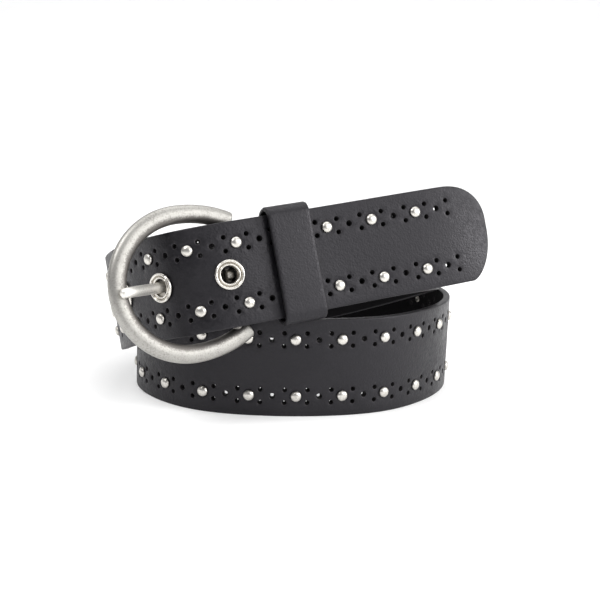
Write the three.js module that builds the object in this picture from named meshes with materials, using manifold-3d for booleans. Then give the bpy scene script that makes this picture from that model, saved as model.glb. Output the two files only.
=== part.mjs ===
// A studded leather belt, buckled and coiled in two turns on its lower edge.
// Millimetres, +Z up. The front of the coil faces -Y and the free tip points to +X.
import * as THREE from 'three';
import { mergeGeometries, mergeVertices } from 'three/addons/utils/BufferGeometryUtils.js';
import Module from 'manifold-3d';

// Leather strap
const strapWidth = 38;
const leather = 2.7;
const tipLength = 15;
const tipFlat = 10;
const coilReach = 64;

// Studs and punched holes, in two rows
const pairPitch = 18.04;
const tipToFirstPair = 31.6;
const rowSpacing = 22.1;
const rowSkew = 0.87;
const pairsBeforeBar = 4;
const punchBore = 2.2;
const studHead = 4.2;
const studRise = 1.25;
const studShank = 1.6;
const rivetBack = 2.8;
const rivetBackRise = 0.5;

// Eyelets along the middle
const eyeletCount = 5;
const eyeletFlange = 11.2;
const eyeletBore = 6.4;
const eyeletBarrelWall = 0.8;
const eyeletRise = 1.1;
const eyeletBackRise = 0.5;

// Buckle frame, heel bar and prong
const frameOuter = 58.6;
const frameBand = 6.8;
const frameThick = 4.6;
const armLength = 21.5;
const armSpread = 34;
const barFromCentre = 17.4;
const barDiameter = 5;
const frameTurn = 11;
const prongDiameter = 3.5;

// Buckle end of the strap, folded round the bar
const foldWidth = 32;
const foldTaper = 6;
const flapLength = 13;
const prongSlot = 5.2;
const slotReach = 7;

// Keeper
const keeperWidth = 16.5;
const keeperLeather = 1.6;
const keeperFromBar = 23.8;
const keeperCorner = 2.6;

// Clearances
const clearance = 0.3;
const slideClearance = 0.6;
const layerClearance = 0.4;

// How far the across direction of the upper turns leans left and back for each unit of height.
const slantLeft = 0.232;
const slantBack = 0.194;

// The middle line of the strap from the free tip, once and a half round, towards the bar. turned is
// the angle gone round in degrees, reach the distance from the coil's axis as a share of coilReach,
// rise the height as a share of strapWidth and slant the share of the upper turns' lean.
const coilRows = [
  { turned: 5, reach: 1.484, rise: 1.921, slant: 1 },
  { turned: 20, reach: 1.198, rise: 1.868, slant: 1 },
  { turned: 34, reach: 1.009, rise: 1.805, slant: 1 },
  { turned: 50, reach: 0.867, rise: 1.729, slant: 1 },
  { turned: 68, reach: 0.811, rise: 1.658, slant: 1 },
  { turned: 88, reach: 0.856, rise: 1.584, slant: 1 },
  { turned: 104, reach: 1.038, rise: 1.524, slant: 1 },
  { turned: 116, reach: 1.228, rise: 1.445, slant: 1 },
  { turned: 124.5, reach: 1.273, rise: 1.353, slant: 1 },
  { turned: 132, reach: 1.253, rise: 1.271, slant: 1 },
  { turned: 141, reach: 1.233, rise: 1.176, slant: 1 },
  { turned: 154, reach: 1.217, rise: 1.013, slant: 1 },
  { turned: 172, reach: 1.202, rise: 0.811, slant: 0.95 },
  { turned: 198, reach: 1.182, rise: 0.737, slant: 0.8 },
  { turned: 230, reach: 1.172, rise: 0.605, slant: 0.5 },
  { turned: 262, reach: 1.108, rise: 0.526, slant: 0.2 },
  { turned: 294, reach: 1.063, rise: 0.5, slant: 0 },
  { turned: 320, reach: 1.023, rise: 0.5, slant: 0 },
  { turned: 343, reach: 1.05, rise: 0.5, slant: 0 },
  { turned: 365, reach: 0.986, rise: 0.5, slant: 0 },
  { turned: 388, reach: 0.898, rise: 0.5, slant: 0 },
  { turned: 412, reach: 0.869, rise: 0.5, slant: 0 },
  { turned: 438, reach: 0.825, rise: 0.5, slant: 0 },
  { turned: 464, reach: 0.873, rise: 0.5, slant: 0 },
  { turned: 486, reach: 0.989, rise: 0.5, slant: 0 },
  { turned: 505, reach: 1.042, rise: 0.5, slant: 0 },
  { turned: 526, reach: 1.075, rise: 0.5, slant: 0 },
  { turned: 551, reach: 1.006, rise: 0.5, slant: 0 },
  { turned: 582, reach: 0.992, rise: 0.54, slant: 0 },
  { turned: 614, reach: 0.961, rise: 0.658, slant: 0.1 },
  { turned: 645, reach: 0.93, rise: 0.895, slant: 0.35 },
  { turned: 672, reach: 0.898, rise: 1.171, slant: 0.65 },
  { turned: 698, reach: 0.875, rise: 1.421, slant: 0.85 },
  { turned: 722, reach: 0.852, rise: 1.592, slant: 1 },
  { turned: 746, reach: 0.805, rise: 1.67, slant: 1 },
];
// How far right of the bar the buckle end's points lie, as shares of the keeper's distance.
const underPoints = [2.3, 1.7, 1.2, 0.75, 0.35];
const flapPoints = [0.35, 0.75, 1.2, 1.7];
const tightBend = 14;

const rad = THREE.MathUtils.degToRad;
const lerp = THREE.MathUtils.lerp;
const vec = (x = 0, y = 0, z = 0) => new THREE.Vector3(x, y, z);
const add = (start, ...terms) => terms.reduce(
  (sum, [direction, length]) => sum.addScaledVector(direction, length), start.clone());

const face = leather / 2;
const layerStep = leather + clearance + Math.max(rivetBackRise, eyeletBackRise) + layerClearance;
const foldRadius = barDiameter / 2 + clearance + face;

// The directions at a place on the strap: along it, across it, and out of its grain face.
function directions(along, slant) {
  const upright = vec(-slant * slantLeft, slant * slantBack, 1);
  const across = upright.addScaledVector(along, -upright.dot(along)).normalize();
  return { along, across, out: across.clone().cross(along) };
}

// A uniform cubic B-spline through control points, as frames with the length gone along the grain.
function trace(controls) {
  const steps = 24;
  const frames = [];
  for (let span = 0; span + 3 < controls.length; span += 1) {
    for (let step = 0; step < steps; step += 1) {
      const t = step / steps;
      const shares = [(1 - t) ** 3, 3 * t ** 3 - 6 * t * t + 4, -3 * t ** 3 + 3 * t * t + 3 * t + 1, t ** 3];
      const slopes = [-((1 - t) ** 2), 3 * t * t - 4 * t, -3 * t * t + 2 * t + 1, t * t];
      const near = controls.slice(span, span + 4);
      const point = add(vec(), ...near.map((c, k) => [c.point, shares[k] / 6]));
      const along = add(vec(), ...near.map((c, k) => [c.point, slopes[k]])).normalize();
      const slant = near.reduce((sum, c, k) => sum + (c.slant * shares[k]) / 6, 0);
      frames.push({ point, ...directions(along, slant), at: 0 });
    }
  }
  const grain = (frame) => add(frame.point, [frame.out, face]);
  for (let i = 1; i < frames.length; i += 1) {
    frames[i].at = frames[i - 1].at + grain(frames[i]).distanceTo(grain(frames[i - 1]));
  }
  return frames;
}

function frameAt(frames, at) {
  let low = 0;
  let high = frames.length - 1;
  while (high - low > 1) {
    const between = Math.floor((low + high) / 2);
    if (frames[between].at <= at) low = between;
    else high = between;
  }
  const [a, b] = [frames[low], frames[high]];
  const t = (at - a.at) / (b.at - a.at);
  const point = a.point.clone().lerp(b.point, t);
  const along = a.along.clone().lerp(b.along, t).normalize();
  const across = a.across.clone().lerp(b.across, t);
  across.addScaledVector(along, -across.dot(along)).normalize();
  return { at, point, along, across, out: across.clone().cross(along) };
}

const coilControls = coilRows.map((row) => {
  const angle = rad(-row.turned);
  const reach = row.reach * coilReach;
  return { point: vec(reach * Math.cos(angle), reach * Math.sin(angle), row.rise * strapWidth), slant: row.slant };
});

// The tip's run fixes the bar: the first eyelet left of the bar lies a quarter pitch past a pair.
const tipRun = trace(coilControls);
const pairAt = (index) => tipToFirstPair + index * pairPitch;
const eyeletPitch = 1.5 * pairPitch;
const openEyelet = pairAt(pairsBeforeBar) + pairPitch / 4;
const barAt = openEyelet - pairPitch / 12;
const overBar = frameAt(tipRun, barAt);
const barCentre = add(overBar.point, [overBar.out, -(layerStep + foldRadius)]);

// The buckle end runs beneath the tip to the bar, round it, and back inside as a short flap.
function wholeRun() {
  const controls = [...coilControls];
  const under = (share, depth) => {
    const spot = frameAt(tipRun, barAt - share * keeperFromBar);
    controls.push({ point: add(spot.point, [spot.out, -depth]), slant: 1 });
  };
  underPoints.forEach((share) => under(share, layerStep + Math.max(0, share - 1.2) * studRise));
  const turnSteps = 4;
  const controlRadius = (foldRadius * 3) / (2 + Math.cos(Math.PI / turnSteps));
  for (let i = 0; i <= turnSteps; i += 1) {
    const turn = (Math.PI * i) / turnSteps;
    controls.push({
      point: add(barCentre, [overBar.out, controlRadius * Math.cos(turn)], [overBar.along, controlRadius * Math.sin(turn)]),
      slant: 1,
    });
  }
  const flapDepth = layerStep + leather + clearance;
  flapPoints.forEach((share) => under(share, lerp(layerStep + 2 * foldRadius, flapDepth, Math.min(1, share))));
  return trace(controls);
}

const run = wholeRun();

// Where along the strap the fold lies, and where the flap ends.
const halfWay = run[run.length - 1].at / 2;
const nearestTo = (spot) => run.filter((frame) => frame.at > halfWay)
  .reduce((best, frame) => (frame.point.distanceTo(spot) < best.point.distanceTo(spot) ? frame : best)).at;
const foldStart = nearestTo(add(barCentre, [overBar.out, foldRadius]));
const foldMiddle = nearestTo(add(barCentre, [overBar.along, foldRadius]));
const foldEnd = 2 * foldMiddle - foldStart;
const strapEnd = foldEnd + flapLength;
const narrowFrom = foldStart - keeperFromBar + keeperWidth / 2 + clearance;

function halfWidth(at) {
  const wide = strapWidth / 2;
  if (at < tipLength) {
    const gone = 1 - at / tipLength;
    return tipFlat / 2 + (wide - tipFlat / 2) * Math.sqrt(Math.max(0, 1 - gone ** 2.2));
  }
  return lerp(wide, foldWidth / 2, THREE.MathUtils.smoothstep(at, narrowFrom, narrowFrom + foldTaper));
}

// Cross lines of the sheet: close together at the tip, the fold and the tight bends, and elsewhere
// two a pitch, halfway between the studs and the punched holes.
function crossLines() {
  const list = [0, 0.05, 0.18, 0.4, 0.7, 1].map((share) => share * tipLength);
  const spread = (from, to, spacing) => {
    const count = Math.max(1, Math.round((to - from) / spacing));
    for (let i = 1; i <= count; i += 1) list.push(lerp(from, to, i / count));
  };
  const firstLine = tipToFirstPair - 0.75 * pairPitch;
  if (firstLine > tipLength + pairPitch / 8) list.push(firstLine);
  for (let at = firstLine + pairPitch / 2; at < narrowFrom - pairPitch / 4; at += pairPitch / 2) {
    const before = frameAt(run, list[list.length - 1]);
    if (before.along.angleTo(frameAt(run, at).along) > rad(tightBend)) list.push((before.at + at) / 2);
    list.push(at);
  }
  list.push(narrowFrom);
  spread(narrowFrom, narrowFrom + foldTaper, foldTaper / 3);
  spread(narrowFrom + foldTaper, foldStart, pairPitch / 3);
  spread(foldStart, foldEnd, (foldMiddle - foldStart) / 4);
  spread(foldEnd, strapEnd, flapLength / 4);
  return list;
}

const lines = crossLines().map((at) => frameAt(run, at));

// A place on the bent sheet, straight between two cross lines.
function place(at, up, out) {
  let i = 0;
  while (i < lines.length - 2 && lines[i + 1].at <= at) i += 1;
  const spot = (line) => add(line.point, [line.across, up], [line.out, out]);
  return spot(lines[i]).lerp(spot(lines[i + 1]), (at - lines[i].at) / (lines[i + 1].at - lines[i].at));
}

// The seat of a piece of hardware, with Y out of the grain face.
function seat(at, up) {
  const nudge = studShank / 2;
  const along = place(at + nudge, up, 0).sub(place(at - nudge, up, 0)).normalize();
  const across = place(at, up + nudge, 0).sub(place(at, up - nudge, 0));
  const out = across.cross(along).normalize();
  return new THREE.Matrix4().makeBasis(along, out, along.clone().cross(out)).setPosition(place(at, up, 0));
}

function volume(geometry) {
  const places = geometry.attributes.position;
  const corner = (i) => vec().fromBufferAttribute(places, geometry.index.getX(i));
  let sum = 0;
  for (let i = 0; i < geometry.index.count; i += 3) sum += corner(i).dot(corner(i + 1).cross(corner(i + 2)));
  return sum / 6;
}

// Rings of equally many points joined into a closed body with flat ends.
function skin(rings) {
  const sides = rings[0].length;
  const index = [];
  for (let i = 0; i + 1 < rings.length; i += 1) {
    for (let k = 0; k < sides; k += 1) {
      const [a, b] = [i * sides + k, i * sides + ((k + 1) % sides)];
      index.push(a, b, b + sides, a, b + sides, a + sides);
    }
  }
  const last = (rings.length - 1) * sides;
  for (let k = 1; k + 1 < sides; k += 1) index.push(0, k + 1, k, last, last + k, last + k + 1);
  const geometry = new THREE.BufferGeometry();
  const numbers = rings.flat().flatMap((p) => [p.x, p.y, p.z]);
  geometry.setAttribute('position', new THREE.Float32BufferAttribute(numbers, 3));
  geometry.setIndex(index);
  if (volume(geometry) < 0) geometry.setIndex(index.reverse());
  return geometry;
}

const wasm = await Module();
wasm.setup();

function bareMesh(geometry) {
  const bare = geometry.clone();
  bare.deleteAttribute('normal');
  bare.deleteAttribute('uv');
  const merged = mergeVertices(bare, 1e-4);
  const index = [];
  for (let i = 0; i < merged.index.count; i += 3) {
    const [a, b, c] = [0, 1, 2].map((k) => merged.index.getX(i + k));
    if (a !== b && b !== c && c !== a) index.push(a, b, c);
  }
  merged.setIndex(index);
  return merged;
}

function toSolid(geometry) {
  const bare = bareMesh(geometry);
  return new wasm.Manifold(new wasm.Mesh({
    numProp: 3,
    vertProperties: bare.attributes.position.array,
    triVerts: new Uint32Array(bare.index.array),
  }));
}

function fromSolid(solid) {
  const mesh = solid.getMesh();
  const geometry = new THREE.BufferGeometry();
  geometry.setAttribute('position', new THREE.BufferAttribute(mesh.vertProperties, 3));
  geometry.setIndex(new THREE.BufferAttribute(mesh.triVerts, 1));
  return geometry;
}

const black = { color: 0x2b2a2d, roughness: 0.45, metalness: 0 };
const antique = { color: 0xa9a49a, roughness: 0.35, metalness: 1 };
const bright = { color: 0xd2cfc8, roughness: 0.2, metalness: 1 };

const group = new THREE.Group();

function addPiece(name, geometry, look, matrix) {
  const bare = bareMesh(geometry);
  bare.computeVertexNormals();
  const mesh = new THREE.Mesh(bare, new THREE.MeshStandardMaterial(look));
  mesh.name = name;
  if (matrix) matrix.decompose(mesh.position, mesh.quaternion, mesh.scale);
  group.add(mesh);
}

// The pattern of the grain face
const rows = [
  { name: 'upper', up: rowSpacing / 2, shift: 0 },
  { name: 'lower', up: -rowSpacing / 2, shift: -rowSkew },
];
const patternEnd = foldStart - 2.7 * keeperFromBar;
const pairCount = Math.floor((patternEnd - tipToFirstPair) / pairPitch) + 1;
const eyelets = Array.from({ length: eyeletCount }, (_, i) => openEyelet + (i - 1) * eyeletPitch);
const spots = rows.flatMap((row) => Array.from({ length: pairCount }, (_, i) => (
  { row: row.name, index: i, at: pairAt(i) + row.shift, up: row.up })));
const punches = rows.flatMap((row) => Array.from({ length: pairCount + 1 }, (_, i) => (
  { at: pairAt(i - 0.5) + row.shift, up: row.up })));

// The pairs with rivets of their own: those of the upper front and of the lower front.
const lowerFrontPair = pairsBeforeBar + 18;
const rivets = spots.filter(({ index }) => index < pairsBeforeBar + 5
  || (index >= lowerFrontPair && index <= lowerFrontPair + 10));

// Strap
const sheet = skin(lines.map((line) => {
  const wide = halfWidth(line.at);
  return [[-1, -1], [1, -1], [1, 1], [-1, 1]].map(([a, b]) => (
    add(line.point, [line.across, a * wide], [line.out, b * face])));
}));

function bore(at, up, diameter, sides) {
  const hole = new THREE.CylinderGeometry(diameter / 2, diameter / 2, leather + 2 * layerClearance, sides);
  return hole.applyMatrix4(seat(at, up));
}

const barrel = eyeletBore + 2 * eyeletBarrelWall;
const bores = [
  ...punches.map((spot) => bore(spot.at, spot.up, punchBore, 6)),
  ...rivets.map((spot) => bore(spot.at, spot.up, studShank + 2 * clearance, 6)),
  ...eyelets.map((at) => bore(at, 0, barrel + 2 * clearance, 12)),
];
const slot = new THREE.BoxGeometry(2 * slotReach, 2 * (foldRadius + face) + clearance, prongSlot);
slot.applyMatrix4(new THREE.Matrix4()
  .makeBasis(overBar.along, overBar.out, overBar.along.clone().cross(overBar.out)).setPosition(barCentre));
const strap = toSolid(sheet).subtract(toSolid(mergeGeometries(bores))).subtract(toSolid(slot));
addPiece('strap', fromSolid(strap), black);

// Stud rivets
const lathe = (profile, sides) => new THREE.LatheGeometry(profile.map(([x, y]) => new THREE.Vector2(x, y)), sides);
const seatGap = face + clearance;
const stud = lathe([
  [0, -seatGap - rivetBackRise],
  [rivetBack / 2, -seatGap - rivetBackRise / 2],
  [rivetBack / 2, -seatGap],
  [studShank / 2, -seatGap],
  [studShank / 2, seatGap],
  [studHead / 2, seatGap],
  [0.36 * studHead, seatGap + 0.75 * studRise],
  [0, seatGap + studRise],
], 7);
for (const spot of rivets) addPiece(`stud_${spot.row}_${spot.index}`, stud, bright, seat(spot.at, spot.up));

// Eyelets, rolled over at the front and the back
const backFlange = 0.42 * eyeletFlange;

// How far the bent sheet rises above (1) or falls below (-1) its seat within a flange.
function bulge(at, radius, sign) {
  const matrix = seat(at, 0);
  const out = vec().setFromMatrixColumn(matrix, 1);
  const centre = vec().setFromMatrixPosition(matrix);
  const round = Array.from({ length: 8 }, (_, k) => (Math.PI * k) / 4);
  const heights = round.map((turn) => (
    place(at + radius * Math.cos(turn), radius * Math.sin(turn), 0).sub(centre).dot(out) * sign));
  return Math.max(0, ...heights);
}

function makeEyelet(at) {
  const top = seatGap + bulge(at, eyeletFlange / 2, 1);
  const low = seatGap + bulge(at, backFlange, -1);
  return lathe([
    [eyeletBore / 2, -low - eyeletBackRise],
    [backFlange, -low - eyeletBackRise],
    [backFlange, -low],
    [barrel / 2, -low],
    [barrel / 2, top],
    [eyeletFlange / 2, top],
    [0.44 * eyeletFlange, top + 0.85 * eyeletRise],
    [eyeletBore / 2 + eyeletBarrelWall, top + eyeletRise],
    [eyeletBore / 2, top + 0.5 * eyeletRise],
    [eyeletBore / 2, -low - eyeletBackRise],
  ], 12);
}
eyelets.forEach((at, i) => addPiece(`eyelet_${i + 1}`, makeEyelet(at), antique, seat(at, 0)));

// Buckle frame: its plane turns about the bar so that its left side stands out in front.
const frameUp = overBar.across;
const frameLeft = add(vec(), [overBar.along, Math.cos(rad(frameTurn))], [overBar.out, Math.sin(rad(frameTurn))]);
const frameOut = frameUp.clone().cross(frameLeft);
const inFrame = (left, up, out) => add(barCentre, [frameLeft, left], [frameUp, up], [frameOut, out]);
const bandRadius = (frameOuter - frameBand) / 2;

function bandAt(turn) {
  const long = Math.cos(turn) < 0 ? armSpread : bandRadius;
  return new THREE.Vector2(barFromCentre + long * Math.cos(turn), bandRadius * Math.sin(turn));
}

const bandSection = [[1, -0.3], [1, 0.1], [0.6, 0.42], [0, 0.5], [-0.6, 0.42], [-1, 0.1], [-1, -0.3], [-0.7, -0.5], [0.7, -0.5]];

function makeFrame() {
  const bandSteps = 30;
  const endTurn = Math.PI - Math.acos(armLength / armSpread);
  const rings = [];
  for (let i = 0; i <= bandSteps; i += 1) {
    const turn = lerp(-endTurn, endTurn, i / bandSteps);
    const centre = bandAt(turn);
    const ahead = bandAt(turn + 0.01).sub(bandAt(turn - 0.01)).normalize();
    const section = (shrink, shift) => bandSection.map(([side, deep]) => {
      const offset = (side * shrink * frameBand) / 2;
      return inFrame(centre.x + ahead.x * shift + ahead.y * offset, centre.y + ahead.y * shift - ahead.x * offset,
        deep * frameThick * lerp(1, shrink, 0.5));
    });
    if (i === 0) rings.push(section(0.5, -0.5 * frameBand), section(0.88, -0.25 * frameBand));
    rings.push(section(1, 0));
    if (i === bandSteps) rings.push(section(0.88, 0.25 * frameBand), section(0.5, 0.5 * frameBand));
  }
  const barHalf = bandRadius * Math.sqrt(1 - (barFromCentre / armSpread) ** 2);
  const bar = new THREE.CylinderGeometry(barDiameter / 2, barDiameter / 2, 2 * barHalf, 10);
  bar.applyMatrix4(new THREE.Matrix4()
    .makeBasis(frameOut, frameUp, frameOut.clone().cross(frameUp)).setPosition(barCentre));
  return toSolid(skin(rings)).add(toSolid(bar));
}
addPiece('buckle_frame', fromSolid(makeFrame()), antique);

// Prong: a loop round the bar, a run to the eyelet, out through it, and on to the frame.
const pronged = seat(eyelets[2], 0);
const eyeletCentre = vec().setFromMatrixPosition(pronged);
const eyeletOut = vec().setFromMatrixColumn(pronged, 1);

function tube(points, radii, sides) {
  const rings = points.map((point, i) => {
    const ahead = points[Math.min(i + 1, points.length - 1)].clone().sub(points[Math.max(i - 1, 0)]).normalize();
    return Array.from({ length: sides }, (_, k) => {
      const angle = (2 * Math.PI * (k + 0.5)) / sides;
      const shift = radii[i] * Math.cos(angle);
      return inFrame(point.x - ahead.y * shift, radii[i] * Math.sin(angle), point.y + ahead.x * shift);
    });
  });
  return toSolid(skin(rings));
}

function makeProng() {
  const wall = 1.5;
  const loopRadius = barDiameter / 2 + clearance + wall / 2;
  const loop = Array.from({ length: 11 }, (_, i) => {
    const turn = rad(lerp(60, 330, i / 10));
    return new THREE.Vector2(loopRadius * Math.cos(turn), loopRadius * Math.sin(turn));
  });
  const fromBar = eyeletCentre.clone().sub(barCentre);
  const through = new THREE.Vector2(fromBar.dot(frameLeft), fromBar.dot(frameOut));
  const outward = new THREE.Vector2(eyeletOut.dot(frameLeft), eyeletOut.dot(frameOut)).normalize();
  const rest = prongDiameter / 2 + clearance + frameThick / 2;
  const arm = barFromCentre + bandRadius;
  const reach = leather + prongDiameter;
  const beside = (distance) => vec(through.x + outward.x * distance, through.y + outward.y * distance, 0);
  const path = new THREE.CatmullRomCurve3([
    vec(0.6 * loopRadius, -loopRadius, 0),
    vec(loopRadius + prongDiameter, -loopRadius, 0),
    beside(-1.7 * reach),
    beside(-0.6 * reach),
    beside(0.7 * reach),
    vec(arm - 0.4 * frameBand, rest + clearance, 0),
    vec(arm, rest, 0),
  ]);
  const steps = 18;
  const points = path.getPoints(steps).map((p) => new THREE.Vector2(p.x, p.y));
  const radii = points.map((_, i) => (prongDiameter / 2) * (i === steps ? 0.5 : 1 - 0.2 * (i / steps) ** 2));
  return tube(points, radii, 8).add(tube(loop, loop.map(() => wall / 2), 8));
}
addPiece('prong', fromSolid(makeProng()), antique);

// Keeper: a band round both layers of the strap.
function makeKeeper() {
  const centre = frameAt(tipRun, barAt - keeperFromBar);
  const front = seatGap + studRise + slideClearance;
  const back = layerStep + seatGap + slideClearance;
  const high = strapWidth / 2 + slideClearance;
  const outline = (grow, path) => {
    const corner = keeperCorner + grow;
    const [left, right, low, top] = [-back - grow, front + grow, -high - grow, high + grow];
    path.moveTo(left + corner, low);
    path.lineTo(right - corner, low);
    path.quadraticCurveTo(right, low, right, low + corner);
    path.lineTo(right, top - corner);
    path.quadraticCurveTo(right, top, right - corner, top);
    path.lineTo(left + corner, top);
    path.quadraticCurveTo(left, top, left, top - corner);
    path.lineTo(left, low + corner);
    path.quadraticCurveTo(left, low, left + corner, low);
    return path;
  };
  const shape = outline(keeperLeather, new THREE.Shape());
  shape.holes.push(outline(0, new THREE.Path()));
  const band = new THREE.ExtrudeGeometry(shape, { depth: keeperWidth, bevelEnabled: false, curveSegments: 3 });
  band.translate(0, 0, -keeperWidth / 2);
  const basis = new THREE.Matrix4().makeBasis(centre.out, centre.across, centre.out.clone().cross(centre.across));
  return band.applyMatrix4(basis.setPosition(centre.point));
}
addPiece('keeper', makeKeeper(), black);

// The origin is at the middle of the footprint, on the surface that the coil stands on.
const box = new THREE.Box3().setFromObject(group, true);
const middle = box.getCenter(vec());
group.children.forEach((mesh) => mesh.position.sub(vec(middle.x, middle.y, box.min.z)));

export default group;
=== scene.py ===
import math
import bmesh
import bpy
import numpy as np
from mathutils import Matrix, Vector
from mathutils.geometry import delaunay_2d_cdt


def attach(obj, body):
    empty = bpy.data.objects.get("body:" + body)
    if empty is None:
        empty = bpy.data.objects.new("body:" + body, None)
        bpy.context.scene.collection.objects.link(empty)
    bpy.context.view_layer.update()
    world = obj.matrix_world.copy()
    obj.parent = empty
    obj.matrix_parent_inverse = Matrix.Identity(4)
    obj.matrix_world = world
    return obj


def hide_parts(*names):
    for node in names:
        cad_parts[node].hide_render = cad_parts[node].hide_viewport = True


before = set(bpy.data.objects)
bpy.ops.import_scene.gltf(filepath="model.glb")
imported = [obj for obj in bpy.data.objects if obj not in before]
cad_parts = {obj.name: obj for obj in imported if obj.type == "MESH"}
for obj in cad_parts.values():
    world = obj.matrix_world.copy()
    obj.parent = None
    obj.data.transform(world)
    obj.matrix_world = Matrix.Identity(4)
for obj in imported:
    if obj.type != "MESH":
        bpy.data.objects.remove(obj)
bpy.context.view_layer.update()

# Studded belt, coiled on its edge. Lengths are millimetres until a mesh is made.
mm = 0.001


class Wire:
    # a socket that can be used in a sum
    def __init__(self, shader, socket):
        self.shader = shader
        self.socket = socket

    def combine(self, operation, first, second):
        return self.shader.add("ShaderNodeMath", {"operation": operation}, {0: first, 1: second})[0]

    def __add__(self, other):
        return self.combine("ADD", self, other)

    def __radd__(self, other):
        return self.combine("ADD", other, self)

    def __sub__(self, other):
        return self.combine("SUBTRACT", self, other)

    def __rsub__(self, other):
        return self.combine("SUBTRACT", other, self)

    def __mul__(self, other):
        return self.combine("MULTIPLY", self, other)

    def __rmul__(self, other):
        return self.combine("MULTIPLY", other, self)


class Shader:
    # a node material with one Principled shader; constants stay on its own sockets
    def __init__(self, name, constants):
        self.material = bpy.data.materials.new(name)
        self.material.use_nodes = True
        self.tree = self.material.node_tree
        self.surface = self.tree.nodes["Principled BSDF"]
        for socket, value in constants.items():
            self.surface.inputs[socket].default_value = value

    @classmethod
    def around(cls, tree, surface):
        # the same tools for a tree that is already there, such as the world's
        made = cls.__new__(cls)
        made.tree = tree
        made.surface = surface
        return made

    def add(self, kind, settings=None, values=None):
        node = self.tree.nodes.new(kind)
        for key, value in (settings or {}).items():
            setattr(node, key, value)
        for socket, value in (values or {}).items():
            target = node.inputs[socket]
            if isinstance(value, Wire):
                self.tree.links.new(value.socket, target)
            else:
                target.default_value = value
        wires = {number: Wire(self, output) for number, output in enumerate(node.outputs)}
        wires.update({output.name: Wire(self, output) for output in node.outputs if output.enabled})
        return wires

    def feed(self, socket, wire):
        self.tree.links.new(wire.socket, self.surface.inputs[socket])

    def place(self):
        return self.add("ShaderNodeTexCoord")["Object"]

    def noise(self, where, size, detail=3.0, roughness=0.5):
        # size is that of a blotch, in millimetres
        values = {"Vector": where, "Scale": 1000 / size, "Detail": detail, "Roughness": roughness}
        return self.add("ShaderNodeTexNoise", None, values)["Fac"]

    def pebbles(self, where, size):
        return self.add("ShaderNodeTexVoronoi", None, {"Vector": where, "Scale": 1000 / size})["Distance"]

    def clampRange(self, wire, low, high, newLow=0.0, newHigh=1.0):
        settings = {"interpolation_type": "SMOOTHSTEP"}
        values = {"Value": wire, "From Min": low, "From Max": high, "To Min": newLow, "To Max": newHigh}
        return self.add("ShaderNodeMapRange", settings, values)[0]

    def blend(self, factor, first, second):
        return self.add("ShaderNodeMix", {"data_type": "RGBA"}, {0: factor, 6: first, 7: second})[2]

    def attribute(self, name):
        return self.add("ShaderNodeAttribute", {"attribute_name": name})["Fac"]

    def bump(self, height, depth):
        values = {"Strength": 1.0, "Distance": depth * mm, "Height": height}
        self.feed("Normal", self.add("ShaderNodeBump", None, values)["Normal"])


# Leather: near black, with a soft sheen; sizes of the blotches and of the grain
leather = {
    # the first colour is a paler grey, painted on as a highlight round studs and on hole rims, and as sheen
    # with rub on the cut edges
    "paintedSheen": (0.05, 0.048, 0.052, 1), "tint": (0.97, 0.94, 1.0, 1), "coat": 0.02, "coatRoughness": 0.25,
    "cloudSize": 26, "fleckSize": 1.6, "grainSize": 0.8, "poreSize": 0.5, "creaseSize": 1.5,
}
leatherFinishes = {
    "grainLeather": {
        "dark": (0.005, 0.0048, 0.006, 1), "light": (0.0095, 0.0091, 0.0108, 1),
        "rough": (0.32, 0.56), "depth": 0.13, "shine": 0.3},
    "fleshLeather": {
        "dark": (0.0015, 0.0014, 0.0016, 1), "light": (0.0035, 0.0032, 0.0035, 1),
        "rough": (0.7, 0.9), "depth": 0.06, "shine": 0.12},
    "edgeLeather": {
        "dark": (0.006, 0.0058, 0.0068, 1), "light": (0.012, 0.0115, 0.013, 1),
        "rough": (0.42, 0.55), "depth": 0.03, "shine": 0.3},
    "holeLeather": {
        "dark": (0.003, 0.0028, 0.0028, 1), "light": (0.009, 0.008, 0.0075, 1),
        "rough": (0.7, 0.9), "depth": 0.05, "shine": 0.3},
}


def makeLeather(name):
    finish = leatherFinishes[name]
    shader = Shader(name, {"Specular IOR Level": finish["shine"], "Specular Tint": leather["tint"],
                           "Coat Weight": leather["coat"], "Coat Roughness": leather["coatRoughness"]})
    where = shader.place()
    cloud = shader.noise(where, leather["cloudSize"], 4.0)
    fleck = shader.noise(where, leather["fleckSize"], 3.0, 0.65)
    # this attribute is above 0 where a paler colour is painted on: a painted highlight round each stud and on
    # the rims of holes, and painted sheen with rub on the cut edges
    sheenAndRub = shader.attribute("sheenAndRub")
    tone = shader.clampRange(cloud * 0.7 + fleck * 0.3, 0.38, 0.64)
    colour = shader.blend(tone, finish["dark"], finish["light"])
    sheenAndRubMix = shader.clampRange(fleck * 0.5 + sheenAndRub, 0.5, 1.25, 0.0, 0.55)
    shader.feed("Base Color", shader.blend(sheenAndRubMix, colour, leather["paintedSheen"]))
    matt = shader.clampRange(cloud * 0.55 + fleck * 0.45, 0.36, 0.64, *finish["rough"])
    shader.feed("Roughness", matt - sheenAndRub * 0.07)
    cells = shader.pebbles(where, leather["grainSize"])
    pores = shader.noise(where, leather["poreSize"], 2.0)
    crease = shader.noise(where, leather["creaseSize"], 4.0, 0.6)
    shader.bump(cells * 0.5 + pores * 0.35 + crease * 0.9, finish["depth"])
    return shader.material


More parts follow.
